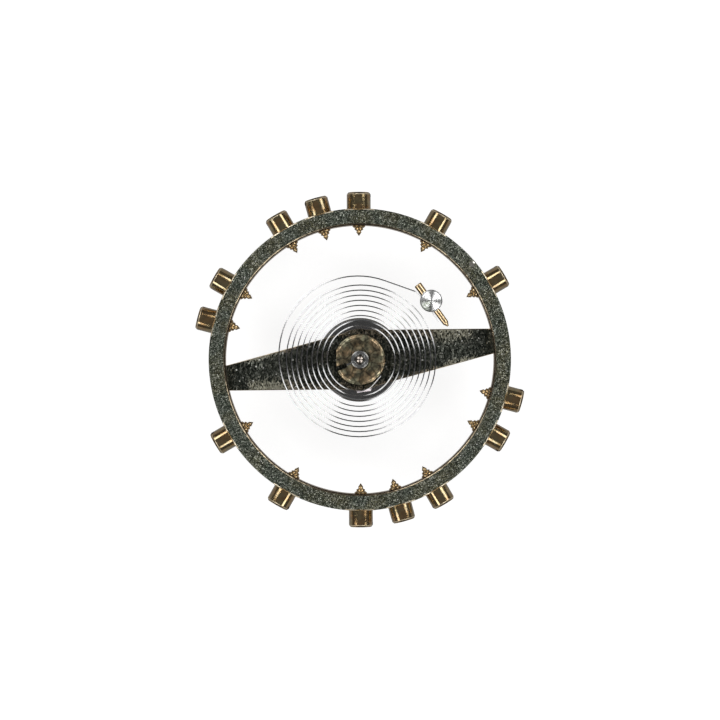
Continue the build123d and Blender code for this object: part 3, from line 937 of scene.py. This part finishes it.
def screw_turns(screw):
    """Directions of all the screws: one of each pair, then its opposite."""
    pairs = (90, 60, 30, -15, -30, -60, -75)
    return [radians(pair) + side + screw.circle_turn for side in (0, pi) for pair in pairs]


def screw_place(screw, angle):
    """Place on the rim's seat whose +Z points outward along the screw."""
    height = (WHEEL_LOW.z + WHEEL_HIGH.z) / 2
    seat = Matrix.Translation((screw.seat_radius, 0, height)) @ Matrix.Rotation(pi / 2, 4, "Y")
    return spin_turn(angle) @ seat


class BALANCE_OT_screws(bpy.types.Operator):
    """Fourteen balance screws with bevelled, slotted heads and threaded points"""
    bl_idname = "balance.screws"
    bl_label = "Balance screws"

    def execute(self, context):
        s, rim = settings().screws, settings().wheel
        radius, pitch = s.thread_radius, s.thread_pitch
        head, bevel, end = s.head_radius, s.head_bevel, s.head_length
        shank_end = -(rim.width - (rim.outer_radius - s.seat_radius) + s.end_length)
        tip = shank_end - s.tip_length
        slope = radius / s.tip_length
        outline = [(s.tip_radius, tip)]
        for ridge in (2, 1):
            height = shank_end - ridge * pitch
            outline.append(((height - tip) * slope + s.tip_radius, height))
            outline.append(((height + pitch / 2 - tip) * slope - s.thread_depth, height + pitch / 2))
        outline += [
            (radius, shank_end), (radius, shank_end + pitch / 3), (radius - s.relief, shank_end + pitch / 2),
            (radius - s.relief, 0), (head, 0), (head, end - bevel * 1.5), (head - bevel / 4, end - bevel),
            (head - bevel, end), (head * 0.3, end)]
        screw = turned("screw", outline, sides=72, ease=(0.000008, 3))
        half = s.slot_width / 2
        combined(screw, block(
            "slot", (-half, -2 * head, end - s.slot_depth), (half, 2 * head, end + s.slot_depth)))
        smooth(screw)
        coated(screw, screw_finish())
        coated(screw, plain_metal("screw_thread"), lambda place, reach, up: place.z < 0)
        # Painted highlight on each head's end facet.
        coated(screw, plain_metal("worn_head_edge"), lambda place, reach, up: (
            end - bevel * 1.5 < place.z < end - bevel))
        for number, angle in enumerate(screw_turns(s), start=1):
            slot_turn = spin_turn(s.slot_step * (number % 5 - 2))
            piece = moved(duplicate(screw, f"rim_screw_{number:02d}"), screw_place(s, angle) @ slot_turn)
            finished(piece, "balance", f"balance_screw_{number:02d}")
        bpy.data.objects.remove(screw)
        return {"FINISHED"}


class BALANCE_OT_staff(bpy.types.Operator):
    """Balance staff with its pivots, cones, seats and riveted lip"""
    bl_idname = "balance.staff"
    bl_label = "Staff"

    def execute(self, context):
        s, rim = settings().staff, settings().wheel
        bottom, top, flange = STAFF_LOW.z, STAFF_HIGH.z, ROLLER_HIGH.z
        arm_top = rim.arm_base + rim.arm_thickness
        rivet_top = arm_top + s.rivet_height
        pivot, seat, seat_top = s.pivot_radius, s.collet_seat_radius, s.collet_seat_top
        low_root, high_root = bottom + s.pivot_length, top - s.pivot_length
        staff = smooth(turned("staff", [
            (pivot * 0.3, bottom), (pivot, bottom), (pivot, low_root - s.root_height),
            (s.shoulder_radius, low_root), (s.low_cone_radius, s.roller_seat_base),
            (s.roller_seat_radius, s.roller_seat_base), (s.roller_seat_radius, flange),
            (s.flange_radius, flange), (s.flange_radius, rim.arm_base), (rim.bore_radius, rim.arm_base),
            (rim.bore_radius, arm_top), (s.rivet_radius, arm_top),
            (s.rivet_radius - s.rivet_height, rivet_top), (seat, rivet_top),
            (seat, seat_top - s.seat_edge_drop), (seat - s.seat_edge_width, seat_top - s.dome_height),
            (s.dome_radius, seat_top), (s.cone_radius, seat_top), (s.shoulder_radius, high_root),
            (pivot, high_root + s.root_height), (pivot, top - s.end_height), (pivot * 0.3, top),
        ], sides=96, ease=(0.00001, 3)), degrees=40)
        coated(staff, plain_metal("staff_steel"))
        # Painted shade on the upper cone.
        coated(staff, plain_metal("cone_steel"), lambda place, reach, up: (
            abs(up) < HALF_STEEP and seat_top < place.z < high_root))
        coated(staff, plain_metal("pivot_steel"), lambda place, reach, up: (
            reach < s.shoulder_radius and not low_root < place.z < high_root))
        finished(staff, "balance", "balance_staff")
        return {"FINISHED"}


class BALANCE_OT_roller(bpy.types.Operator):
    """Double roller in one piece, and the impulse jewel set in it"""
    bl_idname = "balance.roller"
    bl_label = "Roller and jewel"

    def execute(self, context):
        s = settings().roller
        low, top = ROLLER_LOW.z, ROLLER_HIGH.z
        table, radius, bevel = top - s.table_thickness, s.table_radius, s.table_bevel
        safety_top = low + s.safety_thickness
        bore = settings().staff.roller_seat_radius
        roller = turned("roller", [
            (bore, low), (s.safety_radius, low), (s.safety_radius, safety_top), (s.neck_radius, safety_top),
            (s.neck_radius, table), (radius - bevel, table), (radius, table + bevel), (radius, top - bevel),
            (radius - bevel, top), (bore, top),
        ], sides=144, ease=(0.00001, 2), ring=True)
        jewel_place = out_along(s.jewel_turn, s.jewel_middle)
        hole = self.jewel_blank("jewel_hole", s, table - OVER, top + OVER, s.jewel_gap)
        combined(roller, moved(hole, jewel_place))
        crescent = rod("crescent", s.crescent_radius, low - OVER, low + s.crescent_depth, sides=48)
        combined(roller, moved(crescent, out_along(s.jewel_turn, s.safety_radius + s.crescent_radius / 4)))
        smooth(roller)
        coated(roller, roller_finish(radius - s.highlight_inset))
        finished(roller, "balance", "double_roller")
        jewel = self.jewel_blank("jewel", s, JEWEL_LOW.z, JEWEL_HIGH.z, growth=0)
        edges_bevelled(jewel, s.jewel_bevel, least_degrees=50)
        smooth(moved(jewel, jewel_place))
        coated(jewel, jewel_finish())
        finished(jewel, "balance", "impulse_jewel")
        return {"FINISHED"}

    def jewel_blank(self, name, s, low, high, growth):
        """D-shaped rod: a round one whose outer side is cut flat."""
        blank = rod(name, s.jewel_radius + growth, low, high, sides=64)
        opened(blank)
        bpy.ops.mesh.bisect(
            plane_co=(s.jewel_flat + growth, 0, low), plane_no=(1, 0, 0), use_fill=True, clear_outer=True,
            threshold=MERGE)
        edited()
        return blank


class BALANCE_OT_collet(bpy.types.Operator):
    """Slit collet with its flat and cross hole, and the pin in it"""
    bl_idname = "balance.collet"
    bl_label = "Collet"

    def execute(self, context):
        s, stud = settings().collet, settings().stud
        low, top, radius = COLLET_LOW.z, COLLET_HIGH.z, s.radius
        edge = top - s.edge_drop
        bore = settings().staff.collet_seat_radius
        collet = turned("collet", [
            (bore, low), (radius, low), (radius, edge - s.edge_height), (radius - s.edge_width, edge),
            (radius - s.bevel, top), (bore, top),
        ], sides=128, ease=(0.000012, 2), ring=True)

        def cutter(name, start, end, half_width):
            return block(name, (start, -half_width, low - OVER), (end, half_width, top + OVER))

        combined(collet, moved(cutter("flat", radius - s.flat_depth, 2 * radius, radius), spin_turn(pi)))
        slit_end = radius - s.slit_depth
        slit = cutter("slit", slit_end, 2 * radius, s.slit_width / 2)
        limit, rounding = slit_end + s.slit_width / 4, s.slit_width * 0.49
        picked(slit, "EDGE", lambda one, other: (
            one.x < limit and other.x < limit and abs(one.y - other.y) < rounding))
        bpy.ops.mesh.bevel(offset=rounding, segments=8, affect="EDGES")
        edited()
        combined(collet, moved(slit, spin_turn(s.slit_turn)))
        combined(collet, moved(cutter("neck", 0, radius * 0.75, s.neck_width / 2), spin_turn(s.slit_turn)))
        hole = rod("hole", s.hole_radius, -radius, radius, sides=48)
        heading = ribbon_route()["hole_heading"]
        height = Vector((0, 0, spring_height()))
        combined(collet, moved(hole, along(beside(heading) * s.hole_distance + height, heading)))
        edges_bevelled(collet, s.cut_bevel, least_degrees=50)
        smooth(collet)
        coated(collet, collet_finish(s))
        finished(collet, "balance", "hairspring_collet")
        thick = pin_radius(s.hole_radius)
        pin = taper_pin("collet_wedge", stud.collet_pin_length, thick, thin_share=0.8, point=0.00006)
        distance = s.hole_distance - s.hole_radius + stud.clearance + thick
        start = beside(heading) * distance - ahead(heading) * stud.collet_pin_length / 2
        finished(moved(pin, along(start + height, heading)), "balance", "collet_pin")
        return {"FINISHED"}


def ahead(heading):
    return Vector((cos(heading), sin(heading), 0))


def beside(heading):
    """Direction a quarter turn counterclockwise from a heading, outward for the ribbon."""
    return ahead(heading + pi / 2)


def along(middle, heading):
    """Place whose Z points along a level heading and whose X points up."""
    forward = ahead(heading)
    up = Vector((0, 0, 1))
    return Matrix.Translation(middle) @ Matrix((up, forward.cross(up), forward)).transposed().to_4x4()


def spring_height():
    return (SPRING_LOW.z + SPRING_HIGH.z) / 2


def held_offset(hole_radius):
    """Distance of the ribbon's middle from a hole's axis when its edges reach the hole's wall."""
    spring = settings().spring
    reach = hole_radius - settings().stud.clearance
    return sqrt(reach ** 2 - (spring.height / 2) ** 2) - spring.thickness / 2


def pin_radius(hole_radius):
    """Radius that fills a hole between its wall and the ribbon held there."""
    free = held_offset(hole_radius) - settings().spring.thickness / 2 + hole_radius
    return free / 2 - settings().stud.clearance


def taper_pin(name, pin_length, thick, thin_share, point):
    """Brass taper pin about Z from its blunt end up to its short point."""
    thin = thick * thin_share
    pin = smooth(turned(name, [
        (thick * 0.3, 0), (thick, 0), (thin, pin_length - point), (thin * 0.25, pin_length),
        (thin * 0.05, pin_length)], sides=40, ease=(thick * 0.25, 3)), degrees=50)
    coated(pin, bpy.data.materials.get("wedge_brass") or plain_metal("wedge_brass"))
    return pin


def ribbon_route():
    """The ribbon's start, the heading of the collet's hole, and its runs as (radius or length, turn)."""
    s, collet = settings().spring, settings().collet
    first_radius = collet.radius + s.gap_round_collet + s.thickness / 2 + s.pitch / 8
    first_start = Vector((-s.pitch / 8, s.pitch / 8 - first_radius, 0))
    lead_heading = pi + s.lead_turn
    lead_distance = collet.radius + s.thickness / 2 + s.mouth_gap
    lead_radius = (lead_distance - beside(lead_heading).dot(first_start)) / (1 - cos(s.lead_turn))
    held_distance = collet.hole_distance + held_offset(collet.hole_radius)
    mouth_turn = acos((held_distance - s.mouth_bend) / (lead_distance - s.mouth_bend))
    hole_heading = lead_heading + mouth_turn
    lead_middle = first_start - beside(pi) * lead_radius
    lead_length = ahead(lead_heading).dot(lead_middle)
    mouth_middle = beside(lead_heading) * (lead_distance - s.mouth_bend)
    bend_start = mouth_middle + beside(hole_heading) * s.mouth_bend
    start = bend_start - ahead(hole_heading) * s.held_length
    last_radius = first_radius + s.quarter_turns * s.pitch / 4
    runs = [
        (s.held_length, 0), (s.mouth_bend, -mouth_turn), (lead_length, 0), (lead_radius, -s.lead_turn),
        *((first_radius + quarter * s.pitch / 4, -pi / 2) for quarter in range(s.quarter_turns)),
        (last_radius, -s.last_turn), (s.first_knee, s.first_knee_turn),
        (last_radius + s.outer_growth, -s.outer_turn), (s.outer_straight, 0),
        (s.stud_curve, -s.stud_curve_turn), (s.tail_before_stud + s.tail_past_stud, 0)]
    return {"start": start + Vector((0, 0, spring_height())), "hole_heading": hole_heading, "runs": runs}


# Runs of the ribbon before its first coil and after its last
LEAD_RUNS = 4
TAIL_RUNS = 5


def walked(route):
    """Each run's length, turn, middle or step, and the place and heading at its end."""
    place, heading = route["start"], route["hole_heading"]
    for size, swing in route["runs"]:
        if swing:
            guide = place + beside(heading) * size * (1 if swing > 0 else -1)
            place = guide + Matrix.Rotation(swing, 3, "Z") @ (place - guide)
            heading += swing
            yield size * abs(swing), swing, guide, place, heading
        else:
            guide = ahead(heading) * size
            place = place + guide
            yield size, swing, guide, place, heading


def route_end(route):
    """Place and heading of the ribbon's outer end."""
    return list(walked(route))[-1][3:]


class BALANCE_OT_hairspring(bpy.types.Operator):
    """Flat hairspring, one ribbon drawn out from the collet to past the stud"""
    bl_idname = "balance.hairspring"
    bl_label = "Hairspring"

    def execute(self, context):
        s, route = settings().spring, ribbon_route()
        nothing_selected()
        bpy.ops.mesh.primitive_plane_add(size=1)
        ribbon = named("flat_hairspring")
        self.roof_ends(ribbon, s)
        moved(ribbon, along(route["start"], route["hole_heading"]))
        editing()
        bpy.ops.mesh.select_mode(type="FACE")
        bpy.ops.mesh.select_all(action="SELECT")
        travelled = 0.0
        lengths = [0.0] * len(self.points(ribbon))
        for run, swing, guide, place, _ in walked(route):
            steps = 1
            if swing:
                steps = max(3, round(abs(swing) / radians(5)))
                bpy.ops.mesh.spin(steps=steps, angle=-swing, center=guide, axis=(0, 0, 1))
            else:
                bpy.ops.mesh.extrude_region_move(TRANSFORM_OT_translate={"value": guide})
            added = len(self.points(ribbon)) - len(lengths)
            each = added // steps
            lengths += [travelled + run * (number // each + 1) / steps for number in range(added)]
            travelled += run
        bpy.ops.mesh.select_all(action="SELECT")
        bpy.ops.mesh.normals_make_consistent(inside=False)
        edited()
        if min((vertex.co - place).length for vertex in ribbon.data.vertices) > s.height:
            raise RuntimeError("the ribbon does not end in its stud")
        smooth(ribbon, degrees=30)
        coated(ribbon, plain_metal("spring_steel"))
        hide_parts("hairspring")
        self.hang(ribbon, lengths, route)
        return {"FINISHED"}

    def roof_ends(self, ribbon, s):
        """Gives the square section its size and a shallow roof along each narrow side."""
        roof = s.thickness / 2 * s.roof_slope
        opened(ribbon)
        bpy.ops.transform.resize(value=(s.height - 2 * roof, s.thickness, 1), center_override=(0, 0, 0))
        edited()
        for side in (-1, 1):
            picked(ribbon, "EDGE", lambda one, other: one.x * side > roof and other.x * side > roof)
            bpy.ops.mesh.subdivide(number_cuts=1)
            edited()
            picked(ribbon, "VERT", lambda place: place.x * side > roof and abs(place.y) < s.thickness / 4)
            bpy.ops.transform.translate(value=(side * roof, 0, 0))
            edited()

    def points(self, ribbon):
        ribbon.update_from_editmode()
        return ribbon.data.vertices

    def hang(self, ribbon, lengths, route):
        """Ties the ribbon to the stud at one end and to the balance at the other, evenly along its coils."""
        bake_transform(ribbon, "stud", "balance", start=route_end(route)[0], end=route["start"])
        runs = [step[0] for step in walked(route)]
        inner, outer = sum(runs[:LEAD_RUNS]), sum(runs[:-TAIL_RUNS])
        shares = ribbon.data.attributes["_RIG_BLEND"].data
        for number, travelled in enumerate(lengths):
            shares[number].value = 1 - min(1, max(0, (travelled - inner) / (outer - inner)))


class BALANCE_OT_stud(bpy.types.Operator):
    """Hairspring stud and the taper pin through it"""
    bl_idname = "balance.stud"
    bl_label = "Stud"

    def execute(self, context):
        s, spring = settings().stud, settings().spring
        end, heading = route_end(ribbon_route())
        thick = pin_radius(s.hole_radius)
        pin_distance = spring.thickness / 2 + s.clearance + thick
        level = end - ahead(heading) * spring.tail_past_stud
        middle = level + beside(heading) * (pin_distance + s.pin_offset)
        low, top, radius = STUD_LOW.z, STUD_HIGH.z, s.radius
        stud = turned("stud", eased([
            (s.foot_radius * 0.3, low), (s.foot_radius, low), (radius, low + s.foot_length),
            (radius, top - s.edge_drop), (radius - s.edge_width, top),
        ], radius=0.000004, steps=2) + self.face_grooves(s, top), sides=96)
        moved(stud, Matrix.Translation((middle.x, middle.y, 0)))
        hole = rod("hole", s.hole_radius, -2 * radius, 2 * radius, sides=48)
        hole_offset = held_offset(s.hole_radius) - pin_distance - s.pin_offset
        combined(stud, moved(hole, along(middle + beside(heading) * hole_offset, heading)))
        smooth(stud)
        coated(stud, stud_finish(middle))
        finished(stud, "stud", "hairspring_stud")
        pin = taper_pin("stud_wedge", s.pin_length, thick, thin_share=0.77, point=s.pin_point)
        start = middle - beside(heading) * s.pin_offset - ahead(heading) * s.pin_reach
        finished(moved(pin, along(start, heading)), "stud", "stud_pin")
        return {"FINISHED"}

    def face_grooves(self, s, top):
        """Outline of the ring grooves in the stud's end face, from its edge to its middle."""
        pitch = (s.radius - 0.00002) / s.groove_count
        outline = []
        for number in range(s.groove_count):
            ridge = s.radius - s.groove_inset - number * pitch
            outline += [(ridge, top), (ridge - pitch / 2, top - s.groove_depth)]
        return outline + [(pitch * 0.3, top)]


class BALANCE_OT_studio(bpy.types.Operator):
    """Pale floor, four soft boxes, dim room and the camera straight above"""
    bl_idname = "balance.studio"
    bl_label = "Studio"

    def execute(self, context):
        s = settings().studio
        nothing_selected()
        bpy.ops.mesh.primitive_circle_add(vertices=96, radius=1.0, fill_type="NGON", location=(0, 0, 0))
        floor = named("floor")
        floor.data.materials.append(self.floor_paint())
        for number, azimuth in enumerate(s.lamp_azimuths, start=1):
            self.soft_box(number, azimuth, s)
        self.room(s)
        self.camera(s)
        return {"FINISHED"}

    def floor_paint(self):
        """White to the camera and in the metal, yet it keeps the object's shadow."""
        floor = Finish("floor_white", 0.9, metallic=0.0)
        distance = floor.effect("turning_rings", Place=floor.place)["Radius"]
        glossy = floor.times(floor.node("LightPath").outputs["Is Glossy Ray"], 0.1)
        brighter = floor.spread(distance, 0.012, 0.04, 0.84, 1.0)
        floor.give(
            Base_Color=(0.36, 0.36, 0.36), Specular_IOR_Level=0.0, Emission_Color=(1, 1, 1),
            Emission_Strength=floor.math("MULTIPLY_ADD", floor.seen(), brighter, glossy))
        mix = floor.node("MixShader", Fac=floor.node("NewGeometry").outputs["Backfacing"])
        floor.fill(mix.inputs[1], floor.shader.outputs[0])
        floor.fill(mix.inputs[2], floor.node("BsdfTransparent").outputs[0])
        floor.fill(floor.tree.nodes["Material Output"].inputs["Surface"], mix.outputs[0])
        return floor.material

    def soft_box(self, number, azimuth, s):
        """One soft box, facing the wheel from a corner of the table."""
        away = Vector((cos(azimuth) * sin(s.lamp_turn), sin(azimuth) * sin(s.lamp_turn), cos(s.lamp_turn)))
        lamp = bpy.data.lights.new(f"soft_box_{number}", "AREA")
        lamp.shape = "RECTANGLE"
        lamp.size = s.lamp_distance * s.lamp_width
        lamp.size_y = s.lamp_distance * s.lamp_depth
        lamp.energy = s.lamp_level * pi * lamp.size * lamp.size_y
        box = bpy.data.objects.new(lamp.name, lamp)
        bpy.context.collection.objects.link(box)
        box.location = away * s.lamp_distance + Vector((0, 0, WHEEL_HIGH.z))
        box.rotation_euler = away.to_track_quat("Z", "Y").to_euler()

    def room(self, s):
        """Dim room all round, white behind the object."""
        world = bpy.data.worlds.new("room")
        bpy.context.scene.world = world
        world.use_nodes = True
        paint = Paint(world.node_tree)
        height = paint.parts(paint.node("TexCoord").outputs["Generated"])["Z"]
        dim = paint.spread(height, 0.0, 1.0, s.sky_level * 0.5, s.sky_level)
        paint.fill_named(world.node_tree.nodes["Background"], {
            "Color": (1, 1, 1), "Strength": paint.math("MAXIMUM", paint.seen(), dim)})

    def camera(self, s):
        data = bpy.data.cameras.new("camera")
        data.lens = data.sensor_width * (s.camera_height - WHEEL_HIGH.z) / s.field_width
        data.clip_start = 0.001
        data.clip_end = 10
        camera = bpy.data.objects.new("camera", data)
        bpy.context.collection.objects.link(camera)
        camera.location = (s.camera_x, s.camera_y, s.camera_height)
        bpy.context.scene.camera = camera
        bpy.context.scene.view_settings.view_transform = "Standard"


OPERATORS = (
    BALANCE_OT_studio, BALANCE_OT_wheel, BALANCE_OT_screws, BALANCE_OT_staff, BALANCE_OT_roller,
    BALANCE_OT_collet, BALANCE_OT_hairspring, BALANCE_OT_stud,
)


class BALANCE_PT_panel(bpy.types.Panel):
    """Lists the pieces of the balance and its studio"""
    bl_idname = "BALANCE_PT_panel"
    bl_label = "Balance wheel"
    bl_space_type = "VIEW_3D"
    bl_region_type = "UI"
    bl_category = "Balance wheel"

    def draw(self, context):
        for operator in OPERATORS:
            self.layout.operator(operator.bl_idname)


CLASSES = (
    WheelSizes, ScrewSizes, StaffSizes, RollerSizes, ColletSizes, SpringSizes, StudSizes, Finishes,
    StudioSettings, BalanceSettings, *OPERATORS, BALANCE_PT_panel,
)


def register():
    for kind in CLASSES:
        bpy.utils.register_class(kind)
    bpy.types.Scene.balance_wheel = PointerProperty(type=BalanceSettings)


def unregister():
    del bpy.types.Scene.balance_wheel
    for kind in reversed(CLASSES):
        bpy.utils.unregister_class(kind)


def main():
    register()
    bpy.ops.balance.studio()
    bpy.ops.balance.wheel()
    bpy.ops.balance.screws()
    bpy.ops.balance.staff()
    bpy.ops.balance.roller()
    bpy.ops.balance.collet()
    bpy.ops.balance.hairspring()
    bpy.ops.balance.stud()


if __name__ == "__main__":
    main()
